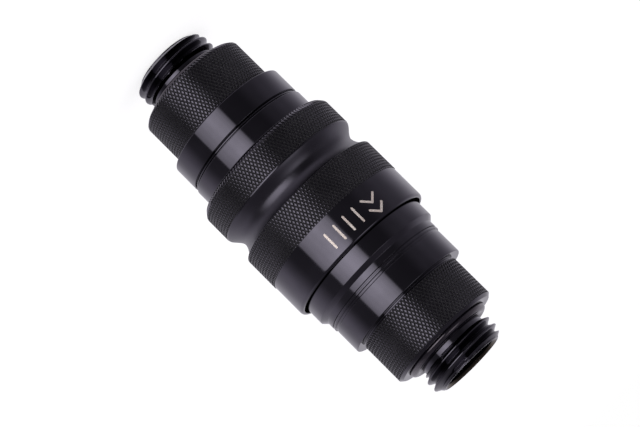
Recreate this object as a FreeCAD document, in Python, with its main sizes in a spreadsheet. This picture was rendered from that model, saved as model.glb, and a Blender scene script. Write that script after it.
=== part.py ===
"""Liquid cooling quick coupling: two halves of turned, black plated brass, joined.

The socket half stands on its threaded end at z = 0 and the plug half is pushed into it from above.
+Z runs along the coupling's axis, from the socket's threaded end to the plug's.
All sizes are in millimetres, radii are measured from the axis.
"""

import FreeCAD, Part
import math
import os
import Sketcher

# Driving sizes: name, value, what it is.
SIZES = [
    ("fit_gap", 0.02, "gap in a screwed or pressed fit"),
    ("running_gap", 0.05, "gap between pieces that slide"),
    ("thread_radius", 6.578, "outer radius of a G1/4 thread"),
    ("thread_depth", 0.878, "thread crest to the unthreaded neck"),
    ("thread_start", 0.8, "rim to the first full thread"),
    ("thread_end", 3.6, "rim to the end of the thread"),
    ("neck_taper", 0.4, "length of the run-out cone"),
    ("thread_wall", 1.778, "thread crest to the port's bore"),
    ("port_chamfer", 0.42, "chamfer at each port's mouth"),
    ("rim_width", 0.18, "width of the thin rim"),
    ("rim_height", 0.1, "height of the thin rim"),
    ("seat_depth", 0.5, "depth of the seal's recess"),
    ("seat_width", 1.2, "width of the face outside the recess"),
    ("seal_wire", 1.7, "thickness of the port seal"),
    ("seal_slack", 0.05, "gap between the seal and its recess"),
    ("grip_chamfer", 0.42, "length of the chamfer before the grip"),
    ("grip_step", 0.5, "height of that chamfer"),
    ("grip_length", 7.03, "knurled grip along the axis"),
    ("relief_depth", 0.35, "depth of the relief after the grip"),
    ("relief_length", 0.35, "length of that relief"),
    ("collar_length", 4.1, "smooth collar along the axis"),
    ("collar_wall", 1.48, "smooth collar over the screwed bore"),
    ("collar_chamfer", 0.15, "broken edges of the collar"),
    ("cap_web", 0.8, "relief to the floor of the screwed bore"),
    ("flare_step", 1.6, "wide end of the flare over the port's bore"),
    ("flare_length", 1.6, "length of that flare"),
    ("body_bore", 7.95, "bore of the socket body, which takes the nose"),
    ("tail_wall", 0.98, "screwed tails over that bore"),
    ("head_wall", 1.95, "head of the socket body over its bore"),
    ("body_reach", 16.4, "rear collar to the faces that meet"),
    ("head_length", 3.5, "rear shoulder of the head to the lock ring"),
    ("mouth_chamfer", 0.4, "chamfers at the mouth and the nose"),
    ("disc_height", 1.4, "drilled discs of the stem and the guide"),
    ("disc_ports", 6, "drilled ports in each disc"),
    ("disc_port_radius", 1.5, "each drilled port"),
    ("hub_radius", 2.6, "hubs in the middle of the discs"),
    ("hub_edge", 0.5, "hub to the edge of a drilled port"),
    ("ring_wall", 1.61, "rear collar over its bore"),
    ("ring_length", 3.85, "rear collar along the axis"),
    ("ring_neck", 0.65, "length of the rear collar's neck"),
    ("ring_neck_depth", 0.61, "depth of that neck"),
    ("ring_line", 0.21, "width of the raised line round the neck"),
    ("ring_line_height", 0.3, "height of that line"),
    ("lock_setback", 4.0, "lock ring to the faces that meet"),
    ("lock_thickness", 1.2, "lock ring along the axis"),
    ("lock_depth", 1.18, "inside of the lock ring under the head's surface"),
    ("lock_lug_angle", 28, "arc of each lug in degrees"),
    ("lock_gap_angle", 16, "opening of the split ring in degrees"),
    ("lock_lugs", 3, "lugs on the lock ring"),
    ("lock_lug_gap", 0.06, "lug to the floor of its groove"),
    ("lock_window_gap", 0.59, "window wider than its lug"),
    ("valve_radius", 4.6, "heads of the stem and the poppet"),
    ("valve_gap", 0.1, "those heads in the bores that they close"),
    ("valve_stroke", 4.0, "travel of the ring valve and the poppet"),
    ("valve_seal_wire", 0.8, "section of the valve seals"),
    ("stem_radius", 2.0, "stem of the socket's fixed valve"),
    ("stem_head", 1.8, "height of the stem's head"),
    ("stem_neck_height", 1.3, "height of the flare under it"),
    ("stem_neck_step", 1.2, "that flare inside the head's edge"),
    ("ring_valve_length", 4.0, "ring valve along the axis"),
    ("ring_valve_gap", 0.5, "its lip to the stem's flare"),
    ("valve_spring_length", 4.5, "space for the ring valve's spring"),
    ("valve_spring_gap", 0.45, "that spring inside its bore"),
    ("valve_spring_wire", 0.9, "section of that spring"),
    ("valve_coils", 3, "turns of that spring"),
    ("nose_length", 10.5, "nose below the faces that meet"),
    ("nose_lip", 2.4, "length of the narrow bore in the nose"),
    ("nose_cone", 1.0, "length of the seat cone in the nose"),
    ("nose_bore_step", 1.5, "wide bore of the plug body over the narrow one"),
    ("nose_seal_setback", 0.8, "tip of the nose to its seal's groove"),
    ("nose_seal_wire", 1.2, "thickness of the nose seal"),
    ("nose_groove_depth", 0.6, "depth of the lock groove in the nose"),
    ("drum_step", 3.42, "smooth drum of the plug body over its nose"),
    ("drum_length", 6.7, "smooth drum along the axis"),
    ("drum_cone", 0.73, "length of the cone above the drum"),
    ("shoulder_step", 0.73, "step above the cone, under the drum's surface"),
    ("shoulder_length", 1.02, "length of that step"),
    ("neck_groove", 0.27, "groove before the thin ring"),
    ("neck_groove_depth", 0.3, "depth of the grooves beside the thin ring"),
    ("thin_ring", 0.28, "thin ring along the axis"),
    ("neck_gap", 0.4, "groove between the thin ring and the cap"),
    ("poppet_flange_step", 0.7, "spring flange of the poppet over its head"),
    ("poppet_flange_height", 0.46, "straight part of that flange"),
    ("poppet_shaft", 1.5, "shaft of the poppet"),
    ("shaft_setback", 0.1, "end of that shaft inside the guide"),
    ("guide_length", 4.6, "hub of the guide below its disc"),
    ("guide_flange_height", 1.0, "thickness of the guide's spring flange"),
    ("guide_flange_step", 1.5, "that flange outside the spring's inner edge"),
    ("poppet_spring_gap", 0.3, "poppet's spring outside the guide's hub"),
    ("poppet_wire", 0.8, "section of that spring"),
    ("poppet_coils", 6, "turns of that spring"),
    ("sleeve_overlap", 0.5, "release sleeve over the rear collar"),
    ("sleeve_gap", 0.13, "gap round the rear collar"),
    ("sleeve_chamfer", 0.7, "length of the chamfer at the rear knurl"),
    ("sleeve_chamfer_step", 0.55, "height of that chamfer"),
    ("knurl_one_length", 4.2, "rear knurl band along the axis"),
    ("knurl_one_step", 0.05, "rear knurl over the land after it"),
    ("land_length", 0.6, "smooth land after the rear knurl"),
    ("land_step", 0.01, "that land over the skirt"),
    ("waist_length", 3.9, "hollow of the waist along the axis"),
    ("waist_radius", 2.17, "radius of that hollow"),
    ("waist_step", 0.25, "foot of the hollow under the land"),
    ("knurl_two_length", 5.55, "front knurl band along the axis"),
    ("knurl_two_step", 0.1, "front knurl over the skirt"),
    ("skirt_length", 5.82, "smooth skirt along the axis"),
    ("skirt_gap", 0.5, "skirt round the plug's drum"),
    ("skirt_wall", 0.57, "wall of the skirt"),
    ("lip_round", 0.3, "broken edge of the skirt's lip"),
    ("sleeve_push", 2.6, "travel of the release sleeve"),
    ("sleeve_flange", 1.4, "inner flange that the spring pushes"),
    ("spring_gap", 0.2, "sleeve round its spring, over the head's surface"),
    ("release_depth", 0.75, "groove that lets the lock ring open"),
    ("release_margin", 0.35, "that groove beyond the lock ring on each side"),
    ("washer_thickness", 0.4, "washer under the sleeve's spring"),
    ("washer_gap", 0.15, "washer in the sleeve"),
    ("sleeve_wire", 0.72, "section of the sleeve's spring"),
    ("sleeve_coils", 4, "turns of the sleeve's spring"),
    ("cap_seal_start", 0.5, "end of a tail to its seal's groove"),
    ("cap_seal_wire", 0.85, "section of the seals inside the caps"),
]

DEGREE = math.pi / 180


class Size:
    """A length that keeps its number beside the sheet formula that gives it."""

    def __init__(self, value, formula):
        self.value = value
        self.formula = formula

    def combined(self, other, sign, value):
        formula = other.formula if isinstance(other, Size) else repr(other)
        return Size(value, "(%s %s %s)" % (self.formula, sign, formula))

    def __add__(self, other):
        return self.combined(other, "+", self.value + number(other))

    def __sub__(self, other):
        return self.combined(other, "-", self.value - number(other))

    def __mul__(self, other):
        return self.combined(other, "*", self.value * number(other))

    def __truediv__(self, other):
        return self.combined(other, "/", self.value / number(other))


def number(size):
    return size.value if isinstance(size, Size) else size


class Sizes:
    """Every named size, as an attribute."""


def make_sheet(doc):
    sheet = doc.addObject("Spreadsheet::Sheet", "Sizes")
    sizes = Sizes()
    for row, (name, value, words) in enumerate(SIZES, start=1):
        sheet.set("A%d" % row, words)
        sheet.set("B%d" % row, str(value))
        sheet.setAlias("B%d" % row, name)
        setattr(sizes, name, Size(value, "Sizes." + name))
    doc.recompute()
    return sizes


def work_out_cap(s):
    """Sizes of both threaded caps, from the rim inwards."""
    s.port_radius = s.thread_radius - s.thread_wall
    s.seat_height = s.thread_end + s.neck_taper + s.seal_wire - s.seat_depth
    s.rim_radius = s.port_radius + s.port_chamfer + s.rim_width
    s.neck_radius = s.thread_radius - s.thread_depth
    s.recess_radius = s.neck_radius + s.seal_wire + s.seal_slack * 2
    s.seat_radius = s.recess_radius + s.seat_width
    s.grip_radius = s.seat_radius + s.grip_step
    s.relief_radius = s.grip_radius - s.relief_depth
    s.tail_radius = s.body_bore + s.tail_wall
    s.screwed_bore = s.tail_radius + s.fit_gap
    s.collar_radius = s.screwed_bore + s.collar_wall
    s.flare_radius = s.port_radius + s.flare_step
    s.grip_start = s.seat_height + s.grip_chamfer
    s.grip_end = s.grip_start + s.grip_length
    s.relief_end = s.grip_end + s.relief_length
    s.cap_length = s.relief_end + s.collar_length
    s.cap_floor = s.relief_end + s.cap_web
    s.tail_setback = s.cap_floor + s.disc_height
    s.disc_port_circle = s.hub_radius + s.hub_edge + s.disc_port_radius


def work_out_socket(s):
    """Radii and heights in the socket half."""
    s.ring_radius = s.screwed_bore + s.ring_wall
    s.ring_neck_radius = s.ring_radius - s.ring_neck_depth
    s.ring_line_radius = s.ring_neck_radius + s.ring_line_height
    s.ring_end = s.cap_length + s.ring_neck + s.ring_length
    s.head_radius = s.body_bore + s.head_wall
    s.meeting_face = s.ring_end + s.body_reach
    s.lock_height = s.meeting_face - s.lock_setback
    s.head_start = s.lock_height - s.head_length
    s.lock_inner = s.head_radius - s.lock_depth
    s.lock_lug_root = s.lock_inner + s.running_gap * 2
    s.lock_window_width = s.lock_lug_root * s.lock_lug_angle * DEGREE + s.lock_window_gap
    s.nose_tip = s.meeting_face - s.nose_length
    s.valve_face = s.nose_tip + s.valve_stroke
    s.valve_bore = s.valve_radius + s.valve_gap
    s.stem_head_base = s.valve_face - s.stem_head
    s.stem_neck_radius = s.valve_radius - s.stem_neck_step
    s.ring_valve_low = s.nose_tip - s.ring_valve_length
    s.ring_valve_lip = s.stem_neck_radius + s.ring_valve_gap
    s.bore_floor = s.ring_valve_low - s.valve_spring_length
    s.valve_spring_inner = s.body_bore - s.valve_spring_gap - s.valve_spring_wire


def work_out_plug(s):
    """Radii and heights in the plug half, up to its rim."""
    s.nose_radius = s.body_bore - s.running_gap
    s.nose_groove_floor = s.nose_radius - s.nose_groove_depth
    s.lock_lug_inner = s.nose_groove_floor + s.lock_lug_gap
    s.nose_lip_end = s.nose_tip + s.nose_lip
    s.nose_bore = s.valve_bore + s.nose_bore_step
    s.nose_seal_base = s.nose_tip + s.nose_seal_setback
    s.drum_radius = s.nose_radius + s.drum_step
    s.shoulder_radius = s.drum_radius - s.shoulder_step
    s.neck_groove_radius = s.shoulder_radius - s.neck_groove_depth
    s.drum_end = s.meeting_face + s.drum_length
    s.cone_end = s.drum_end + s.drum_cone
    s.shoulder_end = s.cone_end + s.shoulder_length
    s.thin_ring_start = s.shoulder_end + s.neck_groove
    s.thin_ring_end = s.thin_ring_start + s.thin_ring
    s.plug_cap_face = s.thin_ring_end + s.neck_gap
    s.total_length = s.plug_cap_face + s.cap_length
    s.guide_disc_top = s.total_length - s.cap_floor
    s.guide_disc_base = s.guide_disc_top - s.disc_height
    s.guide_flange_base = s.guide_disc_base - s.guide_length
    s.poppet_flange_radius = s.valve_radius + s.poppet_flange_step
    s.poppet_shaft_end = s.guide_disc_top - s.shaft_setback
    s.poppet_spring_inner = s.hub_radius + s.poppet_spring_gap
    s.guide_flange_radius = s.poppet_spring_inner + s.guide_flange_step


def work_out_sleeve(s):
    """Radii and heights of the release sleeve and of what it holds."""
    s.sleeve_bore = s.ring_radius + s.sleeve_gap
    s.skirt_bore = s.drum_radius + s.skirt_gap
    s.skirt_radius = s.skirt_bore + s.skirt_wall
    s.land_radius = s.skirt_radius + s.land_step
    s.knurl_one_radius = s.land_radius + s.knurl_one_step
    s.knurl_two_radius = s.skirt_radius + s.knurl_two_step
    s.waist_end_radius = s.land_radius - s.waist_step
    s.sleeve_rear_radius = s.knurl_one_radius - s.sleeve_chamfer_step
    s.spring_space = s.head_radius + s.spring_gap
    s.release_groove = s.head_radius + s.release_depth
    s.washer_radius = s.spring_space - s.washer_gap
    s.sleeve_rear = s.ring_end - s.sleeve_overlap
    s.knurl_one_start = s.sleeve_rear + s.sleeve_chamfer
    s.knurl_one_end = s.knurl_one_start + s.knurl_one_length
    s.land_end = s.knurl_one_end + s.land_length
    s.knurl_two_start = s.land_end + s.waist_length
    s.knurl_two_end = s.knurl_two_start + s.knurl_two_length
    s.skirt_end = s.knurl_two_end + s.skirt_length
    s.release_start = s.lock_height - s.sleeve_push - s.release_margin
    s.release_end = s.lock_height + s.lock_thickness - s.sleeve_push + s.release_margin


doc = FreeCAD.newDocument("quick_coupling")
s = make_sheet(doc)
for work_out in (work_out_cap, work_out_socket, work_out_plug, work_out_sleeve):
    work_out(s)
AXIS = None
sub_parts = []


def plane_of(body, role):
    for feature in body.Origin.OriginFeatures:
        if feature.Role == role:
            return feature
    raise LookupError(role)


def new_body(label):
    body = doc.addObject("PartDesign::Body", label)
    body.Label = label
    sub_parts.append(body)
    return body


def new_sketch(body, name, role="XZ_Plane"):
    sketch = body.newObject("Sketcher::SketchObject", name)
    sketch.AttachmentSupport = [(plane_of(body, role), "")]
    sketch.MapMode = "FlatFace"
    return sketch


def pin_point(sketch, edge, end, radius, height):
    """Ties one end of an edge to its radius and height in the sheet."""
    for kind, axis, size in (("DistanceX", -2, radius), ("DistanceY", -1, height)):
        if size is AXIS:
            sketch.addConstraint(Sketcher.Constraint("PointOnObject", edge, end, axis))
            continue
        index = sketch.addConstraint(Sketcher.Constraint(kind, -1, 1, edge, end, size.value))
        sketch.setExpression("Constraints[%d]" % index, size.formula)


def arc_between(start, end, radius):
    """A short arc from start to end that bulges away from the material, hollowing it."""
    a = FreeCAD.Vector(number(start[0]), number(start[1]), 0)
    b = FreeCAD.Vector(number(end[0]), number(end[1]), 0)
    half = (b - a) * 0.5
    across = FreeCAD.Vector(half.y, -half.x, 0).normalize()
    centre = a + half + across * (radius ** 2 - half.Length ** 2) ** 0.5
    middle = centre - across * radius
    return Part.Arc(a, middle, b)


def draw_outline(sketch, points, arcs=None):
    """Draws a closed outline through points of (radius, height). AXIS stands for 0.
    arcs gives the radius of the edges that are hollow arcs, by the number of their first point."""
    arcs = arcs or {}
    count = len(points)
    for i, start in enumerate(points):
        end = points[(i + 1) % count]
        if i in arcs:
            sketch.addGeometry(arc_between(start, end, arcs[i].value))
        else:
            a = FreeCAD.Vector(number(start[0]) or 0, number(start[1]) or 0, 0)
            b = FreeCAD.Vector(number(end[0]) or 0, number(end[1]) or 0, 0)
            sketch.addGeometry(Part.LineSegment(a, b))
    ends = [arc_ends(sketch, i, points[i], i in arcs) for i in range(count)]
    for i in range(count):
        after = (i + 1) % count
        joint = Sketcher.Constraint("Coincident", i, ends[i][1], after, ends[after][0])
        sketch.addConstraint(joint)
    for i, (radius, height) in enumerate(points):
        pin_point(sketch, i, ends[i][0], radius, height)
    for i, radius in arcs.items():
        index = sketch.addConstraint(Sketcher.Constraint("Radius", i, radius.value))
        sketch.setExpression("Constraints[%d]" % index, radius.formula)


def arc_ends(sketch, index, start, is_arc):
    """Which point numbers of an edge are its start and its end. An arc always runs anticlockwise."""
    if not is_arc:
        return 1, 2
    first = sketch.getPoint(index, 1)
    near = abs(first.x - number(start[0])) + abs(first.y - number(start[1])) < 1e-6
    return (1, 2) if near else (2, 1)


def revolve(body, name, points, arcs=None, degrees=360, formula=None):
    """Turns an outline about the axis."""
    sketch = new_sketch(body, name + "_outline")
    draw_outline(sketch, points, arcs)
    turned = body.newObject("PartDesign::Revolution", name)
    turned.Profile = sketch
    turned.ReferenceAxis = (sketch, ["V_Axis"])
    turned.Angle = degrees
    if formula:
        turned.setExpression("Angle", formula)
    body.Tip = turned
    return turned


def turned_piece(label, points, arcs=None):
    body = new_body(label)
    revolve(body, label + "_turned", points, arcs)
    return body


def polar_pattern(body, feature, name, count):
    pattern = body.newObject("PartDesign::PolarPattern", name)
    pattern.Originals = [feature]
    pattern.Axis = (plane_of(body, "Z_Axis"), [""])
    pattern.Angle = 360
    pattern.Occurrences = int(count.value)
    pattern.setExpression("Occurrences", count.formula)
    body.Tip = pattern
    return pattern


def chamfered_ring(inner, outer, low, high):
    return [(inner, low), (outer, low), (outer, high), (inner, high)]


def seal(label, inner, thickness, low):
    """A seal ring of square section. inner is its inside radius."""
    return turned_piece(label, chamfered_ring(inner, inner + thickness, low, low + thickness))


def spring(label, inner, wire, low, high, coils):
    """A compression spring of square wire, wound from its lower seat to its upper one."""
    body = new_body(label)
    sketch = new_sketch(body, label + "_wire")
    draw_outline(sketch, chamfered_ring(inner, inner + wire, low, low + wire))
    coil = body.newObject("PartDesign::AdditiveHelix", label + "_coil")
    coil.Profile = sketch
    coil.ReferenceAxis = (sketch, ["V_Axis"])
    coil.Mode = "height-turns-angle"
    height = high - low - wire
    coil.Height = height.value
    coil.setExpression("Height", height.formula)
    coil.Turns = coils.value
    coil.setExpression("Turns", coils.formula)
    body.Tip = coil
    return body


def from_socket_rim(distance):
    return distance


def from_plug_rim(distance):
    return s.total_length - distance


def port_cap(label, at):
    """The threaded end of either half, in one piece: G1/4 thread, seal recess, knurled grip and collar.
    at turns a distance from the rim into a height."""
    rim = AXIS if at is from_socket_rim else s.total_length
    thread_chamfer = s.thread_start - s.rim_height
    recess = s.seat_height + s.seat_depth
    return turned_piece(label, [
        (s.port_radius + s.port_chamfer, rim),
        (s.rim_radius, rim),
        (s.rim_radius, at(s.rim_height)),
        (s.thread_radius, at(s.rim_height + thread_chamfer)),
        (s.thread_radius, at(s.thread_end)),
        (s.neck_radius, at(s.thread_end + s.neck_taper)),
        (s.neck_radius, at(recess)),
        (s.recess_radius, at(recess)),
        (s.recess_radius, at(s.seat_height)),
        (s.seat_radius, at(s.seat_height)),
        (s.grip_radius, at(s.grip_start)),
        (s.grip_radius, at(s.grip_end)),
        (s.relief_radius, at(s.grip_end)),
        (s.relief_radius, at(s.relief_end)),
        (s.collar_radius - s.collar_chamfer, at(s.relief_end)),
        (s.collar_radius, at(s.relief_end + s.collar_chamfer)),
        (s.collar_radius, at(s.cap_length - s.collar_chamfer)),
        (s.collar_radius - s.collar_chamfer, at(s.cap_length)),
        (s.screwed_bore, at(s.cap_length)),
        (s.screwed_bore, at(s.cap_floor)),
        (s.flare_radius, at(s.cap_floor)),
        (s.port_radius, at(s.cap_floor - s.flare_length)),
        (s.port_radius, at(s.port_chamfer)),
    ])


def port_seal(label, at):
    """The round rubber ring that seals the cap against a port. It stands proud of its recess."""
    body = new_body(label)
    sketch = new_sketch(body, label + "_section")
    radius = s.seal_wire / 2
    centre_radius = s.neck_radius + s.seal_slack + radius
    centre_height = at(s.seat_height + s.seat_depth - radius)
    centre = FreeCAD.Vector(centre_radius.value, centre_height.value, 0)
    circle = Part.Circle(centre, FreeCAD.Vector(0, 0, 1), radius.value)
    sketch.addGeometry(circle)
    pin_point(sketch, 0, 3, centre_radius, centre_height)
    index = sketch.addConstraint(Sketcher.Constraint("Radius", 0, radius.value))
    sketch.setExpression("Constraints[%d]" % index, radius.formula)
    ring = body.newObject("PartDesign::Revolution", label + "_ring")
    ring.Profile = sketch
    ring.ReferenceAxis = (sketch, ["V_Axis"])
    ring.Angle = 360
    body.Tip = ring
    return body


def drill_disc(body, low):
    """Drills the ring of flow ports through a disc that starts at low."""
    sketch = new_sketch(body, body.Label + "_port", "XY_Plane")
    sketch.AttachmentOffset = FreeCAD.Placement(FreeCAD.Vector(0, 0, low.value), FreeCAD.Rotation())
    sketch.setExpression("AttachmentOffset.Base.z", low.formula)
    centre = FreeCAD.Vector(s.disc_port_circle.value, 0, 0)
    circle = Part.Circle(centre, FreeCAD.Vector(0, 0, 1), s.disc_port_radius.value)
    sketch.addGeometry(circle)
    pin_point(sketch, 0, 3, s.disc_port_circle, AXIS)
    index = sketch.addConstraint(Sketcher.Constraint("Radius", 0, s.disc_port_radius.value))
    sketch.setExpression("Constraints[%d]" % index, s.disc_port_radius.formula)
    port = body.newObject("PartDesign::Pocket", body.Label + "_drilled")
    port.Profile = sketch
    port.Reversed = True
    port.Length = s.disc_height.value
    port.setExpression("Length", s.disc_height.formula)
    body.Tip = port
    polar_pattern(body, port, body.Label + "_ports", s.disc_ports)


def rear_collar():
    """The smooth collar behind the sleeve. A neck with one raised line parts it from the cap."""
    line = s.cap_length + (s.ring_neck - s.ring_line) / 2
    wide = s.cap_length + s.ring_neck
    return turned_piece("rear_collar", [
        (s.screwed_bore, s.cap_length),
        (s.ring_neck_radius, s.cap_length),
        (s.ring_neck_radius, line),
        (s.ring_line_radius, line),
        (s.ring_line_radius, line + s.ring_line),
        (s.ring_neck_radius, line + s.ring_line),
        (s.ring_neck_radius, wide),
        (s.ring_radius, wide),
        (s.ring_radius, s.ring_end),
        (s.screwed_bore, s.ring_end),
    ])


def socket_body():
    """The tube that carries the socket half, with windows for the lock ring's lugs."""
    start = s.tail_setback
    seal_low = start + s.cap_seal_start
    seal_high = seal_low + s.cap_seal_wire + s.running_gap * 2
    seal_floor = s.tail_radius - s.cap_seal_wire
    lock_low = s.lock_height - s.running_gap
    lock_high = s.lock_height + s.lock_thickness + s.running_gap
    groove_floor = s.lock_inner - s.running_gap
    mouth = s.body_bore + s.mouth_chamfer
    body = turned_piece("socket_body", [
        (s.flare_radius, start),
        (s.tail_radius, start),
        (s.tail_radius, seal_low),
        (seal_floor, seal_low),
        (seal_floor, seal_high),
        (s.tail_radius, seal_high),
        (s.tail_radius, s.head_start),
        (s.head_radius, s.head_start),
        (s.head_radius, lock_low),
        (groove_floor, lock_low),
        (groove_floor, lock_high),
        (s.head_radius, lock_high),
        (s.head_radius, s.meeting_face),
        (mouth, s.meeting_face),
        (s.body_bore, s.meeting_face - s.mouth_chamfer),
        (s.body_bore, s.bore_floor),
        (s.flare_radius, s.bore_floor),
    ])
    sketch = new_sketch(body, "socket_body_window_outline", "YZ_Plane")
    side = s.lock_window_width / 2
    low = FreeCAD.Vector(-side.value, lock_low.value, 0)
    high = FreeCAD.Vector(side.value, lock_high.value, 0)
    corners = [low, FreeCAD.Vector(high.x, low.y, 0), high, FreeCAD.Vector(low.x, high.y, 0)]
    for i, corner in enumerate(corners):
        sketch.addGeometry(Part.LineSegment(corner, corners[(i + 1) % 4]))
    for i in range(4):
        sketch.addConstraint(Sketcher.Constraint("Coincident", i, 2, (i + 1) % 4, 1))
    for i, kind in ((1, "Vertical"), (2, "Horizontal"), (3, "Vertical")):
        sketch.addConstraint(Sketcher.Constraint(kind, i))
    sketch.addConstraint(Sketcher.Constraint("Symmetric", 0, 1, 0, 2, -2))
    for kind, first, second, size in (
        ("DistanceX", (0, 1), (0, 2), s.lock_window_width),
        ("DistanceY", (-1, 1), (0, 1), lock_low),
        ("DistanceY", (-1, 1), (2, 1), lock_high),
    ):
        index = sketch.addConstraint(Sketcher.Constraint(kind, *first, *second, size.value))
        sketch.setExpression("Constraints[%d]" % index, size.formula)
    window = body.newObject("PartDesign::Pocket", "socket_body_window")
    window.Profile = sketch
    window.Reversed = True
    window.Length = s.head_radius.value
    window.setExpression("Length", s.head_radius.formula)
    body.Tip = window
    polar_pattern(body, window, "socket_body_windows", s.lock_lugs)
    return body


def cap_seal(label, tail_end, up):
    """The square seal on a body's tail, inside its cap. up is 1 where the tail points down."""
    inner = s.tail_radius - s.cap_seal_wire
    offset = s.cap_seal_start + s.running_gap
    low = tail_end + offset if up > 0 else tail_end - offset - s.cap_seal_wire
    return seal(label, inner, s.cap_seal_wire, low)


def valve_stem():
    """The fixed stem in the middle of the socket half. Its drilled foot is held between cap and body."""
    top = s.tail_setback
    groove = s.valve_radius - s.valve_seal_wire
    groove_low = s.stem_head_base + (s.valve_face - s.stem_head_base - s.valve_seal_wire) / 2
    groove_high = groove_low + s.valve_seal_wire
    body = turned_piece("valve_stem", [
        (AXIS, s.cap_floor),
        (s.tail_radius, s.cap_floor),
        (s.tail_radius, top),
        (s.hub_radius, top),
        (s.stem_radius, top + s.hub_radius - s.stem_radius),
        (s.stem_radius, s.stem_head_base - s.stem_neck_height),
        (s.stem_neck_radius, s.stem_head_base),
        (s.valve_radius, s.stem_head_base),
        (s.valve_radius, groove_low),
        (groove, groove_low),
        (groove, groove_high),
        (s.valve_radius, groove_high),
        (s.valve_radius, s.valve_face),
        (AXIS, s.valve_face),
    ])
    drill_disc(body, s.cap_floor)
    seal("stem_seal", groove, s.valve_seal_wire, groove_low)
    return body


def ring_valve():
    """The sliding ring that closes on the stem's head when the plug leaves."""
    low = s.ring_valve_low
    lip_top = s.stem_head_base - s.valve_stroke
    outer = s.nose_radius
    groove = outer - s.nose_seal_wire
    seal_low = low + (s.ring_valve_length - s.nose_seal_wire) / 2
    seal_high = seal_low + s.nose_seal_wire
    body = turned_piece("ring_valve", [
        (s.ring_valve_lip, low),
        (outer, low),
        (outer, seal_low),
        (groove, seal_low),
        (groove, seal_high),
        (outer, seal_high),
        (outer, s.nose_tip),
        (s.valve_bore, s.nose_tip),
        (s.valve_bore, lip_top),
        (s.ring_valve_lip, lip_top),
    ])
    seal("ring_valve_seal", groove, s.nose_seal_wire, seal_low)
    spring("ring_valve_spring", s.valve_spring_inner, s.valve_spring_wire,
           s.bore_floor, low, s.valve_coils)
    return body


def lock_ring():
    """The split spring ring. Its three lugs reach through the windows into the plug's groove."""
    body = new_body("lock_ring")
    top = s.lock_height + s.lock_thickness
    outer = s.head_radius - s.running_gap
    arc = revolve(body, "lock_ring_arc", chamfered_ring(s.lock_inner, outer, s.lock_height, top),
                  degrees=360 - s.lock_gap_angle.value,
                  formula="360 - " + s.lock_gap_angle.formula)
    arc.Midplane = True
    slope = s.lock_thickness / 3
    lug = revolve(body, "lock_ring_lug", [
        (s.lock_lug_inner, s.lock_height + slope),
        (s.lock_lug_inner + slope, s.lock_height),
        (s.lock_lug_root, s.lock_height),
        (s.lock_lug_root, top),
        (s.lock_lug_inner, top),
    ], degrees=s.lock_lug_angle.value, formula=s.lock_lug_angle.formula)
    lug.Midplane = True
    polar_pattern(body, lug, "lock_ring_lugs", s.lock_lugs)
    return body


def release_sleeve():
    """The knurled sleeve that is pushed towards the plug to let it go."""
    flange_bore = s.tail_radius + s.running_gap
    land_bore = s.head_radius + s.running_gap
    land_end = s.meeting_face - s.sleeve_push - s.running_gap
    return turned_piece("release_sleeve", [
        (s.sleeve_bore, s.sleeve_rear),
        (s.sleeve_rear_radius, s.sleeve_rear),
        (s.knurl_one_radius, s.knurl_one_start),
        (s.knurl_one_radius, s.knurl_one_end),
        (s.land_radius, s.knurl_one_end),
        (s.land_radius, s.land_end),
        (s.waist_end_radius, s.knurl_two_start),
        (s.knurl_two_radius, s.knurl_two_start),
        (s.knurl_two_radius, s.knurl_two_end),
        (s.skirt_radius, s.knurl_two_end),
        (s.skirt_radius, s.skirt_end - s.lip_round),
        (s.skirt_radius - s.lip_round, s.skirt_end),
        (s.skirt_bore, s.skirt_end),
        (s.skirt_bore, land_end),
        (land_bore, land_end),
        (land_bore, s.release_end),
        (s.release_groove, s.release_end),
        (s.release_groove, s.release_start),
        (s.spring_space, s.release_start),
        (s.spring_space, s.ring_end + s.sleeve_flange),
        (flange_bore, s.ring_end + s.sleeve_flange),
        (flange_bore, s.ring_end),
        (s.sleeve_bore, s.ring_end),
    ], arcs={5: s.waist_radius})


def sleeve_washer_and_spring():
    """The washer lets the sleeve turn while its spring stands still."""
    low = s.ring_end + s.sleeve_flange
    top = low + s.washer_thickness
    inner = s.tail_radius + s.running_gap
    turned_piece("spring_washer", chamfered_ring(inner, s.washer_radius, low, top))
    spring("sleeve_spring", inner + s.running_gap, s.sleeve_wire, top, s.head_start, s.sleeve_coils)


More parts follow.
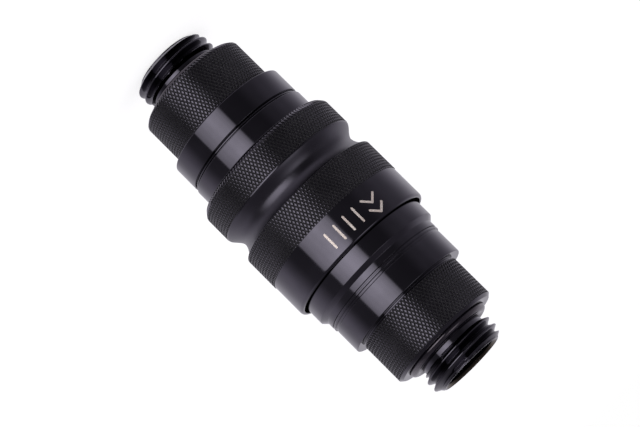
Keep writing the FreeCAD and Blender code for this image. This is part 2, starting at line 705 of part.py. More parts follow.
def plug_body():
    """The plug half's body: nose with seal and lock grooves, smooth drum, thin ring and screwed tail."""
    nose = s.nose_radius
    tip_chamfer = s.mouth_chamfer
    seal_floor = nose - s.nose_seal_wire
    seal_high = s.nose_seal_base + s.nose_seal_wire + s.running_gap * 2
    slope = nose - s.nose_groove_floor
    groove_low = s.lock_height + s.running_gap
    groove_high = s.lock_height + s.lock_thickness + s.running_gap * 2
    tail_end = s.guide_disc_base
    cap_seal_high = tail_end - s.cap_seal_start
    cap_seal_low = cap_seal_high - s.cap_seal_wire - s.running_gap * 2
    cap_seal_floor = s.tail_radius - s.cap_seal_wire
    return turned_piece("plug_body", [
        (s.valve_bore, s.nose_tip),
        (nose - tip_chamfer, s.nose_tip),
        (nose, s.nose_tip + tip_chamfer),
        (nose, s.nose_seal_base),
        (seal_floor, s.nose_seal_base),
        (seal_floor, seal_high),
        (nose, seal_high),
        (nose, groove_low - slope),
        (s.nose_groove_floor, groove_low),
        (s.nose_groove_floor, groove_high),
        (nose, groove_high),
        (nose, s.meeting_face),
        (s.drum_radius, s.meeting_face),
        (s.drum_radius, s.drum_end),
        (s.shoulder_radius, s.cone_end),
        (s.shoulder_radius, s.shoulder_end),
        (s.neck_groove_radius, s.shoulder_end),
        (s.neck_groove_radius, s.thin_ring_start),
        (s.shoulder_radius, s.thin_ring_start),
        (s.shoulder_radius, s.thin_ring_end),
        (s.neck_groove_radius, s.thin_ring_end),
        (s.neck_groove_radius, s.plug_cap_face),
        (s.tail_radius, s.plug_cap_face),
        (s.tail_radius, cap_seal_low),
        (cap_seal_floor, cap_seal_low),
        (cap_seal_floor, cap_seal_high),
        (s.tail_radius, cap_seal_high),
        (s.tail_radius, tail_end),
        (s.nose_bore, tail_end),
        (s.nose_bore, s.nose_lip_end + s.nose_cone),
        (s.valve_bore, s.nose_lip_end),
    ])


def nose_seal():
    """The seal round the plug's nose."""
    inner = s.nose_radius - s.nose_seal_wire
    seal("nose_seal", inner, s.nose_seal_wire, s.nose_seal_base + s.running_gap)


def poppet():
    """The plug half's spring-loaded valve. The stem holds it open while the halves are joined."""
    groove = s.valve_radius - s.valve_seal_wire
    seal_low = s.valve_face + s.valve_seal_wire
    seal_high = seal_low + s.valve_seal_wire
    cone_low = s.nose_lip_end + s.valve_stroke - s.running_gap
    cone_ratio = s.nose_cone / (s.nose_bore - s.valve_bore)
    cone_high = cone_low + cone_ratio * (s.poppet_flange_radius - s.valve_radius)
    back = cone_high + s.poppet_flange_height
    turned_piece("poppet", [
        (AXIS, s.valve_face),
        (s.valve_radius, s.valve_face),
        (s.valve_radius, seal_low),
        (groove, seal_low),
        (groove, seal_high),
        (s.valve_radius, seal_high),
        (s.valve_radius, cone_low),
        (s.poppet_flange_radius, cone_high),
        (s.poppet_flange_radius, back),
        (s.poppet_shaft, back),
        (s.poppet_shaft, s.poppet_shaft_end),
        (AXIS, s.poppet_shaft_end),
    ])
    seal("poppet_seal", groove, s.valve_seal_wire, seal_low)
    spring("poppet_spring", s.poppet_spring_inner, s.poppet_wire,
           back, s.guide_flange_base, s.poppet_coils)


def poppet_guide():
    """The drilled disc and hub that guide the poppet's shaft, held between the plug's body and its cap."""
    high = s.guide_disc_top
    low = s.guide_disc_base
    bore = s.poppet_shaft + s.running_gap
    flange_top = s.guide_flange_base + s.guide_flange_height
    body = turned_piece("poppet_guide", [
        (bore, s.guide_flange_base),
        (s.guide_flange_radius, s.guide_flange_base),
        (s.guide_flange_radius, flange_top),
        (s.hub_radius, flange_top),
        (s.hub_radius, low),
        (s.tail_radius, low),
        (s.tail_radius, high),
        (bore, high),
    ])
    drill_disc(body, low)


def build():
    port_cap("socket_port_cap", from_socket_rim)
    port_seal("socket_port_seal", from_socket_rim)
    cap_seal("socket_cap_seal", s.tail_setback, 1)
    rear_collar()
    socket_body()
    valve_stem()
    ring_valve()
    lock_ring()
    release_sleeve()
    sleeve_washer_and_spring()
    plug_body()
    nose_seal()
    poppet()
    poppet_guide()
    cap_seal("plug_cap_seal", s.guide_disc_base, -1)
    port_cap("plug_port_cap", from_plug_rim)
    port_seal("plug_port_seal", from_plug_rim)
    doc.recompute()


def check():
    """Stops with a plain message if anything in the document failed."""
    for thing in doc.Objects:
        if "Invalid" in thing.State or "Error" in thing.State:
            raise RuntimeError("%s failed: %s" % (thing.Label, thing.State))
    for body in sub_parts:
        if body.Shape.isNull() or not body.Shape.isValid() or len(body.Shape.Solids) != 1:
            raise RuntimeError("%s has no valid single solid" % body.Label)


build()
check()
os.makedirs("parts", exist_ok=True)
for body in sub_parts:
    body.Shape.exportStep("parts/%s.step" % body.Label)
    box = body.Shape.BoundBox
    print("%-20s volume %9.3f  z %7.3f to %7.3f  radius %6.3f"
          % (body.Label, body.Shape.Volume, box.ZMin, box.ZMax, box.XMax))
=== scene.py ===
"""Looks for the liquid cooling quick coupling: black plated turned brass, knurls, threads and seals.

The coupling stands on its socket end with its axis on Z. The sizes of its pieces are in millimetres, as
on a turner's drawing; each piece is modelled in millimetres and brought to metres when it is finished.
"""

import bpy
import math
from mathutils import Matrix, Vector
from mathutils.geometry import interpolate_bezier


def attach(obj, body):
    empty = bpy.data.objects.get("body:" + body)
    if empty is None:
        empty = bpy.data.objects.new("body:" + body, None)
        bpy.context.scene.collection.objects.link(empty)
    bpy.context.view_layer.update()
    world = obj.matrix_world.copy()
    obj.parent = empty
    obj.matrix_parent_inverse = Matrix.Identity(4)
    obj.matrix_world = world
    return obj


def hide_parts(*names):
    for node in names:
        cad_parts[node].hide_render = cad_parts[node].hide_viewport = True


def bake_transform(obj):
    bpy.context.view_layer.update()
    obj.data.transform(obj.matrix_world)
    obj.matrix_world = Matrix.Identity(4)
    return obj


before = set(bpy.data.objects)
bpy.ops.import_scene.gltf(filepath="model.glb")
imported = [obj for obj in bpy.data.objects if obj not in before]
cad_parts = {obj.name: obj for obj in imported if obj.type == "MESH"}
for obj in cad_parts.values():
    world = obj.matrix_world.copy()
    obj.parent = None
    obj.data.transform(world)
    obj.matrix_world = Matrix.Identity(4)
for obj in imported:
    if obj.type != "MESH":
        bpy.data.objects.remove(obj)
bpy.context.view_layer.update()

# A millimetre in metres, how finely round things are drawn, and the edge that polishing leaves.
MM = 0.001
STEPS = 144
INNER_STEPS = 96
CORNER_STEPS = 3
EDGE = 0.06

# The whole coupling, and the heights that a crest of each thread passes at -X.
LENGTH = 64.5
SOCKET_CREST = 1.6
PLUG_CREST = 61.49

# Both threaded caps, measured from their own rims.
THREAD_MAJOR = 6.578
THREAD_MINOR = 5.72
THREAD_PITCH = 1.337
THREAD_END = 3.1
THREAD_START = 0.8
THREAD_RUN_OUT = 0.4
THREAD_FOOT = 0.57
THREAD_NARROWING = 0.44
THREAD_ROOT = 0.095
THREAD_TOP = 0.07
THREAD_SINK = 0.42
ROOT_START = 0.29
NECK_RADIUS = 5.7
PORT_RADIUS = 4.8
PORT_MOUTH = 5.22
RIM_RADIUS = 5.4
RIM_HEIGHT = 0.1
SEAT_HEIGHT = 5.2
SEAT_RADIUS = 8.7
SEAT_FLOOR = 5.7
RECESS_RADIUS = 7.5
SEAL_WIRE = 1.7
SEAL_HEIGHT = 1.42
GRIP_START = 5.62
GRIP_END = 12.65
GRIP_RADIUS = 9.2
GRIP_TEETH = 99
GRIP_PITCH = 1.025
RELIEF_RADIUS = 8.85
RELIEF_END = 13.0
COLLAR_RADIUS = 10.43
CAP_LENGTH = 17.1
CAP_FLOOR = 13.8
CAP_BORE = 8.95
FLARE_RADIUS = 6.4
FLARE_LENGTH = 1.6
BAND_LIP = 0.05

# Every knurl band: how deep it is, and the plain edge where it starts on a chamfer.
KNURL_DEPTH = 0.17
PLAIN_EDGE = 0.07

# One tooth of it, from its foot to its top: reach as a share of the pitch, and height.
TOOTH = [(0, -0.2), (0.5, -0.2), (0.25, -0.012), (0.13, -0.002), (0, 0)]

# The release sleeve.
SLEEVE_REAR = 21.1
REAR_RADIUS = 11.9
KNURL_ONE = (12.45, 21.8, 26.0)
KNURL_TWO = (12.49, 30.5, 36.05)
SLEEVE_TEETH = 135
SLEEVE_PITCH = 1.025
LAND_RADIUS = 12.4
WAIST_START = 26.12
WAIST_FLOOR = (11.055, 28.35)
WAIST_END_RADIUS = 12.15
SKIRT_RADIUS = 12.39
SKIRT_BORE = 11.82
SKIRT_END = 41.87
KNURL_LEAD = 0.1

# Its bore: over the collar, round its spring, the pocket that frees the lock, and the land that holds it.
SLEEVE_BORE = 10.69
FLANGE_END = 23.0
SPRING_SPACE = 10.1
RELEASE_POCKET = (10.65, 31.05, 32.95)
LOCK_LAND_END = 35.35

# The marks on the skirt, by arc length from -Y and height.
CHEVRON_CENTRE = -6.73
CHEVRON_TIPS = (39.2, 41.05)
CHEVRON_HALF_WIDTH = 1.24
CHEVRON_REACH = 1.15
CHEVRON_LINE = 0.36
BAR_COUNT = 4
BAR_FIRST = -3.72
BAR_STEP = 1.83
BAR_HEIGHTS = (37.95, 40.45)
BAR_LINE = 0.34
MARK_RISE = 0.012

# The two bodies.
MEETING_FACE = 38.0
BODY_BORE = 7.95
TAIL_RADIUS = 8.93
TAIL_SEAL_FLOOR = 8.08
TAIL_SEAL_WIRE = 0.85
RUNNING_GAP = 0.05
MOUTH_CHAMFER = 0.4
SOCKET_TAIL_GROOVE = (15.7, 16.65)
PLUG_TAIL_GROOVE = (47.85, 48.8)
TUBE_START = 15.2
TUBE_BORE_START = 19.0
COLLAR_NECK = 9.95
COLLAR_LINE = (10.25, 17.32, 17.53)
COLLAR_REAR_RADIUS = 10.56
COLLAR_REAR_START = 17.75
COLLAR_END = 21.6
HEAD_RADIUS = 9.9
HEAD_START = 30.5
LOCK_GROOVE = (8.67, 33.95, 35.25)
LOCK_WINDOWS = 3
LOCK_WINDOW_WIDTH = 4.9
DRUM_RADIUS = 11.32
DRUM_END = 44.7
SHOULDER_RADIUS = 10.59
SHOULDER_START = 45.43
RIDGE_FLOOR = 10.29
RIDGE_HEIGHTS = (46.45, 46.72, 47.0, 47.4)
NOSE_RADIUS = 7.9
NOSE_TIP = 27.5
NOSE_SEAL_FLOOR = 6.7
NOSE_SEAL_WIRE = 1.2
NOSE_GROOVE = (28.3, 29.6)
NOSE_LOCK_GROOVE = (7.3, 34.05, 35.3)
CHAMBER_RADIUS = 6.2
CHAMBER_CONE = (29.9, 30.9)

# The valves and their springs.
VALVE_BORE = 4.7
VALVE_RADIUS = 4.6
VALVE_FACE = 31.5
FACE_GAP = 0.005
HEAD_SEAL_FLOOR = 3.8
HEAD_SEAL_WIRE = 0.8
STEM_SEAL_LOW = 30.2
STEM_RADIUS = 2.0
STEM_NECK = (15.8, 28.4)
STEM_FLARE = (3.4, 29.7)
POPPET_SEAL_LOW = 32.3
POPPET_HEAD_END = 33.85
POPPET_FLANGE = 5.3
POPPET_FLANGE_START = 34.317
POPPET_REST = 34.777
POPPET_SHAFT = 1.5
POPPET_END = 50.6
SLIDING_START = 23.5
SLIDING_LIP = 3.9
SLIDING_LIP_END = 25.7
SLIDING_GROOVE = (24.9, 26.1)
DISC_PORTS = 6
DISC_PORT_CIRCLE = 4.6
DISC_PORT_RADIUS = 1.5
HUB_RADIUS = 2.6
GUIDE_SEAT = 4.4
GUIDE_START = 44.7
GUIDE_DISC = (49.3, 50.7)
SLEEVE_COIL_START = 23.4
SLEEVE_COIL_WIRE = 0.72
SLIDING_COIL_RADIUS = 6.6
SLIDING_COIL_WIRE = 0.9
POPPET_COIL_RADIUS = 2.9
POPPET_COIL_WIRE = 0.8

# The photograph's camera: tilt in degrees, the axis's slope in the picture, aim, distance and lens.
CAMERA_TILT = 11
PICTURE_ACROSS = 0.7046
PICTURE_ALONG = 0.7096
CAMERA_AIM = 32.36
CAMERA_SHIFT_RIGHT = 0.358
CAMERA_SHIFT_DOWN = 0.381
CAMERA_DISTANCE = 363.5
CAMERA_LENS = 138.4


# Tools of the workshop: outlines, turning, knurling, winding.

def only(obj):
    """Selects one object and makes it active."""
    bpy.ops.object.select_all(action="DESELECT")
    obj.select_set(True)
    bpy.context.view_layer.objects.active = obj


def edit_mode(obj):
    only(obj)
    bpy.ops.object.mode_set(mode="EDIT")
    bpy.ops.mesh.select_all(action="SELECT")


def object_mode():
    bpy.ops.object.mode_set(mode="OBJECT")


def apply_modifiers(obj):
    only(obj)
    for modifier in list(obj.modifiers):
        bpy.ops.object.modifier_apply(modifier=modifier.name)


def join(target, *others):
    """Makes one mesh of several, under the name of the first."""
    only(target)
    for other in others:
        other.select_set(True)
    if others:
        bpy.ops.object.join()
    return target


def rounded(points, radius):
    """Rounds the corners of a closed outline. A third number in a point is that corner's own radius."""
    result = []
    for i, point in enumerate(points):
        here = Vector(point[:2])
        size = point[2] if len(point) > 2 else radius
        before = Vector(points[i - 1][:2]) - here
        after = Vector(points[(i + 1) % len(points)][:2]) - here
        bend = math.pi - before.angle(after)
        if size == 0 or bend < math.radians(8):
            result.append((here.x, here.y))
            continue
        reach = min(size * math.tan(bend / 2), 0.45 * before.length, 0.45 * after.length)
        start = here + before.normalized() * reach
        end = here + after.normalized() * reach
        for step in range(CORNER_STEPS + 1):
            t = step / CORNER_STEPS
            spot = start * (1 - t) ** 2 + here * 2 * t * (1 - t) + end * t ** 2
            result.append((spot.x, spot.y))
    return result


def curve(start, start_handle, end_handle, end, count=16):
    """Outline points of a smooth curve between two points. The handles give its directions."""
    knots = [Vector((*point, 0)) for point in (start, start_handle, end_handle, end)]
    return [(spot.x, spot.y, 0) for spot in interpolate_bezier(*knots, count)]


def draw(name, line):
    """A chain of edges through points of (x, z)."""
    bpy.ops.object.select_all(action="DESELECT")
    bpy.ops.mesh.primitive_plane_add(size=1, location=(0, 0, 0))
    obj = bpy.context.object
    obj.name = name
    edit_mode(obj)
    bpy.ops.mesh.merge(type="CENTER")
    bpy.ops.transform.translate(value=(line[0][0], 0, line[0][1]))
    for before, after in zip(line, line[1:]):
        step = (after[0] - before[0], 0, after[1] - before[1])
        bpy.ops.mesh.extrude_vertices_move(TRANSFORM_OT_translate={"value": step})
    bpy.ops.mesh.select_all(action="SELECT")
    bpy.ops.mesh.remove_doubles(threshold=0.0001)
    return obj


def turn(name, points, edge=EDGE, closed=True, steps=STEPS):
    """Turns an outline of (radius, height) about the axis. Its edges are broken as polishing leaves them.
    An outline that is not closed runs from the axis to the axis."""
    line = rounded(points, edge)
    if closed:
        line.append(line[0])
    obj = draw(name, line)
    bpy.ops.mesh.spin(steps=steps, angle=2 * math.pi, center=(0, 0, 0), axis=(0, 0, 1))
    bpy.ops.mesh.select_all(action="SELECT")
    bpy.ops.mesh.remove_doubles(threshold=0.0001)
    bpy.ops.mesh.normals_make_consistent(inside=False)
    object_mode()
    return obj


def ring(name, inner, outer, low, high, edge=None, steps=STEPS):
    """A plain turned ring. With no edge given its section is as round as it can be, as a seal's is."""
    if edge is None:
        edge = min(outer - inner, high - low) / 2
    return turn(name, [(inner, low), (outer, low), (outer, high), (inner, high)], edge, steps=steps)


def knurl(radius, low, high, around, pitch, first, bevel=None):
    """A band of fine diamond knurl: one tooth with a low roof, copied along the band and round it. radius
    is over the teeth, first is the height of the lowest tooth's middle, pitch is the teeth's length. Every
    other column is staggered by half a tooth. bevel gives the height under which the band is a cone, and
    how much its radius shrinks for each millimetre."""
    width = 2 * math.pi * radius / around
    rows = math.ceil((high - first) / pitch + 0.5)
    columns = []
    for stagger in (0, 1):
        tooth = turn("tooth", TOOTH, edge=0, closed=False, steps=4)
        edit_mode(tooth)
        bpy.ops.transform.resize(value=(pitch, width, 1))
        bpy.ops.transform.rotate(value=-math.pi / 2, orient_axis="Y", center_override=(0, 0, 0))
        bpy.ops.transform.translate(value=(radius, 0, first - pitch / 2 * stagger))
        if stagger:
            bpy.ops.transform.rotate(value=math.pi / around, orient_axis="Z", center_override=(0, 0, 0))
        object_mode()
        column = tooth.modifiers.new("column", "ARRAY")
        column.count = rows + stagger
        column.use_relative_offset = False
        column.use_constant_offset = True
        column.constant_offset_displace = (0, 0, pitch)
        apply_modifiers(tooth)
        for height, side in ((low, -1), (high, 1)):
            edit_mode(tooth)
            bpy.ops.mesh.bisect(plane_co=(0, 0, height), plane_no=(0, 0, side), use_fill=True,
                                clear_outer=True)
            object_mode()
        columns.append(tooth)
    band = join(*columns)
    edit_mode(band)
    bpy.ops.mesh.spin(steps=around - 1, dupli=True, angle=2 * math.pi * (around - 1) / around,
                      center=(0, 0, 0), axis=(0, 0, 1))
    bpy.ops.mesh.select_all(action="SELECT")
    bpy.ops.mesh.normals_make_consistent(inside=False)
    object_mode()
    if bevel:
        for vertex in band.data.vertices:
            x, y, height = vertex.co
            reach = math.hypot(x, y)
            share = (reach - max(0, bevel[0] - height) * bevel[1]) / reach
            vertex.co = (x * share, y * share, height)
    return band


def cut_away(obj, *cutters):
    """Cuts other meshes out of a piece, as a drill or a mill does."""
    for cutter in cutters:
        cut = obj.modifiers.new("cut", "BOOLEAN")
        cut.operation = "DIFFERENCE"
        cut.solver = "EXACT"
        cut.object = cutter
        apply_modifiers(obj)
        bpy.data.objects.remove(cutter)
    return obj


def drill_ports(obj, low, high):
    """The ring of flow ports through a disc."""
    for i in range(DISC_PORTS):
        angle = i * 2 * math.pi / DISC_PORTS
        place = (DISC_PORT_CIRCLE * math.cos(angle), DISC_PORT_CIRCLE * math.sin(angle), (low + high) / 2)
        bpy.ops.object.select_all(action="DESELECT")
        bpy.ops.mesh.primitive_cylinder_add(vertices=48, radius=DISC_PORT_RADIUS, depth=high - low + 0.4,
                                            location=place)
        cut_away(obj, bpy.context.object)
    return obj


def wind(obj, rise, turns, steps=48):
    """Winds the edges of an object about the axis."""
    wound = obj.modifiers.new("wound", "SCREW")
    wound.angle = 2 * math.pi * turns
    wound.screw_offset = rise
    wound.steps = steps * turns
    wound.render_steps = steps * turns
    wound.use_merge_vertices = True
    wound.merge_threshold = 0.0001
    apply_modifiers(obj)
    edit_mode(obj)
    bpy.ops.mesh.remove_doubles(threshold=0.0001)
    bpy.ops.mesh.fill_holes(sides=0)
    bpy.ops.mesh.normals_make_consistent(inside=False)
    object_mode()
    return obj


def wind_spring(name, inner, wire, low, high, coils):
    """A compression spring of round wire between two seats."""
    centre = (inner + wire / 2, low + wire / 2)
    section = []
    for i in range(17):
        angle = i * math.pi / 8
        section.append((centre[0] + wire / 2 * math.cos(angle), centre[1] + wire / 2 * math.sin(angle)))
    coil = draw(name, section)
    object_mode()
    return wind(coil, high - low - wire, coils)


def finish_piece(obj, name, body, material, nodes=(), smooth=35):
    """Brings a piece to metres, shades it, gives it its finish and lets it ride on its body."""
    obj.name = name
    obj.data.name = name
    only(obj)
    bpy.ops.transform.resize(value=(MM, MM, MM), center_override=(0, 0, 0))
    bpy.ops.object.transform_apply(location=True, rotation=True, scale=True)
    bpy.ops.object.shade_smooth_by_angle(angle=math.radians(smooth))
    even = obj.modifiers.new("even", "WEIGHTED_NORMAL")
    even.keep_sharp = True
    apply_modifiers(obj)
    obj.data.materials.append(material)
    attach(obj, body)
    if nodes:
        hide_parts(*nodes)
    return obj


# Finishes.

def node(tree, kind, **values):
    made = tree.nodes.new(kind)
    for key, value in values.items():
        setattr(made, key, value)
    return made


def link(tree, start, end):
    tree.links.new(start, end)


def make_turning_marks():
    """The rings that a lathe tool and polishing leave round the axis, and faint smudges over them."""
    group = bpy.data.node_groups.new("turning_marks", "ShaderNodeTree")
    group.interface.new_socket(name="Rings", in_out="INPUT", socket_type="NodeSocketFloat")
    group.interface.new_socket(name="Smudge Scale", in_out="INPUT", socket_type="NodeSocketFloat")
    group.interface.new_socket(name="Lines", in_out="OUTPUT", socket_type="NodeSocketFloat")
    group.interface.new_socket(name="Smudge", in_out="OUTPUT", socket_type="NodeSocketFloat")
    inlet = node(group, "NodeGroupInput")
    outlet = node(group, "NodeGroupOutput")
    place = node(group, "ShaderNodeTexCoord")
    parts = node(group, "ShaderNodeSeparateXYZ")
    link(group, place.outputs["Object"], parts.inputs["Vector"])
    across = node(group, "ShaderNodeMath", operation="MULTIPLY")
    link(group, parts.outputs["X"], across.inputs[0])
    link(group, parts.outputs["X"], across.inputs[1])
    deep = node(group, "ShaderNodeMath", operation="MULTIPLY_ADD")
    link(group, parts.outputs["Y"], deep.inputs[0])
    link(group, parts.outputs["Y"], deep.inputs[1])
    link(group, across.outputs[0], deep.inputs[2])
    radius = node(group, "ShaderNodeMath", operation="SQRT")
    link(group, deep.outputs[0], radius.inputs[0])
    lathe = node(group, "ShaderNodeCombineXYZ")
    link(group, radius.outputs[0], lathe.inputs["X"])
    link(group, parts.outputs["Z"], lathe.inputs["Z"])
    rings = node(group, "ShaderNodeTexNoise")
    rings.inputs["Detail"].default_value = 2.0
    link(group, lathe.outputs["Vector"], rings.inputs["Vector"])
    link(group, inlet.outputs["Rings"], rings.inputs["Scale"])
    smudge = node(group, "ShaderNodeTexNoise")
    smudge.inputs["Detail"].default_value = 4.0
    link(group, place.outputs["Object"], smudge.inputs["Vector"])
    link(group, inlet.outputs["Smudge Scale"], smudge.inputs["Scale"])
    link(group, rings.outputs["Fac"], outlet.inputs["Lines"])
    link(group, smudge.outputs["Fac"], outlet.inputs["Smudge"])
    return group


def make_metal(name, dark, light, metallic, rough, rings, smudges, depth, tint="Smudge",
               spread_over=(0.42, 0.66)):
    """A turned metal. Its colour goes from dark to light by its smudges or its lines, as tint says, and
    its roughness by its smudges. rings and smudges are how fine they are, depth is the lines' height."""
    material = bpy.data.materials.new(name)
    material.use_nodes = True
    tree = material.node_tree
    surface = tree.nodes["Principled BSDF"]
    marks = node(tree, "ShaderNodeGroup", node_tree=bpy.data.node_groups["turning_marks"])
    marks.inputs["Rings"].default_value = rings
    marks.inputs["Smudge Scale"].default_value = smudges
    colour = node(tree, "ShaderNodeMix", data_type="RGBA")
    colour.inputs["A"].default_value = (*dark, 1)
    colour.inputs["B"].default_value = (*light, 1)
    spread = node(tree, "ShaderNodeMapRange")
    spread.inputs["From Min"].default_value = spread_over[0]
    spread.inputs["From Max"].default_value = spread_over[1]
    link(tree, marks.outputs[tint], spread.inputs["Value"])
    link(tree, spread.outputs["Result"], colour.inputs["Factor"])
    link(tree, colour.outputs["Result"], surface.inputs["Base Color"])
    sheen = node(tree, "ShaderNodeMapRange")
    sheen.inputs["From Min"].default_value = 0.3
    sheen.inputs["From Max"].default_value = 0.7
    sheen.inputs["To Min"].default_value = rough[0]
    sheen.inputs["To Max"].default_value = rough[1]
    link(tree, marks.outputs["Smudge"], sheen.inputs["Value"])
    link(tree, sheen.outputs["Result"], surface.inputs["Roughness"])
    bump = node(tree, "ShaderNodeBump")
    bump.inputs["Strength"].default_value = 1.0
    bump.inputs["Distance"].default_value = depth
    link(tree, marks.outputs["Lines"], bump.inputs["Height"])
    link(tree, bump.outputs["Normal"], surface.inputs["Normal"])
    surface.inputs["Metallic"].default_value = metallic
    return material


def make_rubber():
    """Oiled seal rubber with a fine grain."""
    material = bpy.data.materials.new("black_rubber")
    material.use_nodes = True
    tree = material.node_tree
    surface = tree.nodes["Principled BSDF"]
    place = node(tree, "ShaderNodeTexCoord")
    grain = node(tree, "ShaderNodeTexNoise")
    grain.inputs["Scale"].default_value = 4000.0
    link(tree, place.outputs["Object"], grain.inputs["Vector"])
    colour = node(tree, "ShaderNodeMix", data_type="RGBA")
    colour.inputs["A"].default_value = (0.005, 0.004, 0.007, 1)
    colour.inputs["B"].default_value = (0.009, 0.008, 0.012, 1)
    link(tree, grain.outputs["Fac"], colour.inputs["Factor"])
    link(tree, colour.outputs["Result"], surface.inputs["Base Color"])
    bump = node(tree, "ShaderNodeBump")
    bump.inputs["Distance"].default_value = 0.00001
    link(tree, grain.outputs["Fac"], bump.inputs["Height"])
    link(tree, bump.outputs["Normal"], surface.inputs["Normal"])
    surface.inputs["Roughness"].default_value = 0.13
    surface.inputs["IOR"].default_value = 1.65
    surface.inputs["Specular Tint"].default_value = (1, 0.88, 1, 1)
    return material


make_turning_marks()
PLATING_DARK = (0.055, 0.051, 0.063)
PLATING_LIGHT = (0.067, 0.062, 0.077)
plating = make_metal("black_plating", PLATING_DARK, PLATING_LIGHT, metallic=1.0,
                     rough=(0.06, 0.11), rings=9000, smudges=160, depth=0.0000004)
# The knurls' grooves and flanks: darker plating painted as shade in them, also rougher and duller.
shaded_groove_plating = make_metal("shaded_groove_plating", (0.027, 0.025, 0.03), (0.04, 0.037, 0.044), metallic=0.4,
                            rough=(0.45, 0.6), rings=9000, smudges=160, depth=0.0000004)
waist_plating = make_metal("waist_plating", PLATING_DARK, PLATING_LIGHT, metallic=1.0,
                           rough=(0.27, 0.35), rings=7000, smudges=160, depth=0.000004)
brass = make_metal("bare_brass", (0.46, 0.33, 0.15), (0.80, 0.62, 0.36), metallic=1.0,
                   rough=(0.16, 0.34), rings=7000, smudges=300, depth=0.000004)
# The ports' bores: brass painted nearly black as shade, with turning lines left in brass's own colour.
bore_brass_painted_shade = make_metal("bore_brass_painted_shade", (0.02, 0.017, 0.015), (0.55, 0.43, 0.27), metallic=1.0,
                        rough=(0.1, 0.2), rings=5200, smudges=300, depth=0.000006,
                        tint="Lines", spread_over=(0.54, 0.73))
steel = make_metal("spring_steel", (0.42, 0.42, 0.43), (0.62, 0.62, 0.64), metallic=1.0,
                   rough=(0.2, 0.3), rings=5000, smudges=400, depth=0.000001)
champagne = make_metal("champagne_mark", (0.84, 0.72, 0.65), (0.96, 0.87, 0.8), metallic=0.2,
                       rough=(0.35, 0.5), rings=6000, smudges=900, depth=0.000002)
rubber = make_rubber()


def paint_groove_shade(obj, radius, low, high):
    """Paints shade into a knurl's grooves and the teeth's flanks, between two heights: a darker plating that
    is also rougher and duller. The teeth's tops, which lie high and face outwards, keep the plating."""
    obj.data.materials.append(shaded_groove_plating)
    for face in obj.data.polygons:
        across = Vector((face.center.x, face.center.y, 0))
        depth = radius - across.length / MM
        in_band = low < face.center.z / MM < high and -0.01 <= depth <= 0.25
        is_top = depth <= 0.1 and face.normal.dot(across.normalized()) >= 0.9
        if in_band and not is_top:
            face.material_index = len(obj.data.materials) - 1


# The threaded caps.

def from_socket_rim(distance):
    return distance


def from_plug_rim(distance):
    return LENGTH - distance


def thread_reach(distance):
    """How far out the thread may stand at a distance from the rim: it has a cone at each end."""
    slope = (THREAD_MAJOR - RIM_RADIUS) / (THREAD_START - RIM_HEIGHT)
    start = RIM_RADIUS + (distance - RIM_HEIGHT) * slope
    end = THREAD_MAJOR - (distance - THREAD_END) * (THREAD_MAJOR - NECK_RADIUS) / THREAD_RUN_OUT
    return max(NECK_RADIUS - 0.1, min(THREAD_MAJOR, start, end))


def make_thread(at, crest):
    """A right-handed ridge wound round the cap's core. At -X its crest passes the height crest."""
    flank = []
    for i in range(9):
        share = i / 8
        root = THREAD_ROOT * (1 - share) ** 6
        reach = THREAD_MINOR + (THREAD_MAJOR - THREAD_TOP - THREAD_MINOR) * share
        flank.append((reach, THREAD_FOOT + root - THREAD_NARROWING * share))
    flank += [(THREAD_MAJOR - 0.02, 0.09), (THREAD_MAJOR, 0.04)]
    core = THREAD_MINOR - THREAD_SINK
    low = min(at(0), at(THREAD_END + THREAD_RUN_OUT))
    start = crest - THREAD_PITCH * math.ceil((crest - low + 0.3) / THREAD_PITCH)
    side = [(core, THREAD_FOOT + THREAD_ROOT)] + flank
    section = [(-radius, start - half) for radius, half in side]
    section += [(-radius, start + half) for radius, half in reversed(side)]
    section.append(section[0])
    ridge = draw("thread", section)
    object_mode()
    wind(ridge, 4 * THREAD_PITCH, 4, steps=STEPS)
    for vertex in ridge.data.vertices:
        x, y, height = vertex.co
        distance = at(height)
        radius = math.hypot(x, y)
        reach = min(radius, thread_reach(distance))
        if distance < RIM_HEIGHT + 0.02:
            reach = core
            height = at(RIM_HEIGHT + 0.02)
        vertex.co = (x * reach / radius, y * reach / radius, height)
    return ridge


